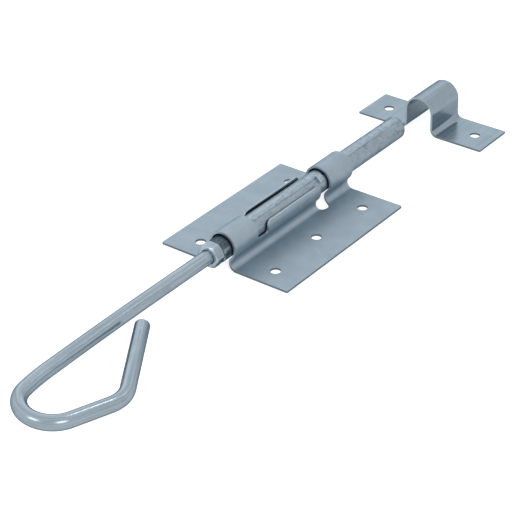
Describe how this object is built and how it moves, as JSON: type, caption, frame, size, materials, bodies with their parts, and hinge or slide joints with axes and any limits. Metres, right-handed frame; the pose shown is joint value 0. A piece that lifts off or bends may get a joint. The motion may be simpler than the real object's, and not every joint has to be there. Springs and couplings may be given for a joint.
{
  "type": "door bolt",
  "caption": "Sliding round door bolt in a folded sheet guide, with a looped rod handle, lock nut and separate strap keeper.",
  "frame": {"origin": "middle of the guide's four corner screws, on the face that is screwed to the door", "axes": "+X along the bolt bar towards its tip and the keeper, +Z out of the door"},
  "size_m": [0.4613, 0.1047, 0.0273],
  "materials": {
    "guide_zinc": "satin",
    "bar_zinc": "satin",
    "handle_zinc": "satin",
    "nut_zinc": "satin",
    "keeper_zinc": "satin"
  },
  "bodies": {
    "guide": {"guide_plate": "guide_zinc", "keeper": "keeper_zinc"},
    "bolt": {"bolt_bar": "bar_zinc"},
    "handle": {"handle_rod": "handle_zinc", "lock_nut": "nut_zinc", "stop_lug": "bar_zinc"}
  },
  "joints": [
    {"name": "bolt_slide", "type": "slide", "parent": "guide", "child": "bolt", "axis": [1, 0, 0], "range_m": [-0.07, 0.003]},
    {"name": "handle_turn", "type": "hinge", "parent": "bolt", "child": "handle", "pos_m": [0, 0, 0.0157], "axis": [-1, 0, 0], "range_deg": [0, 65]}
  ]
}
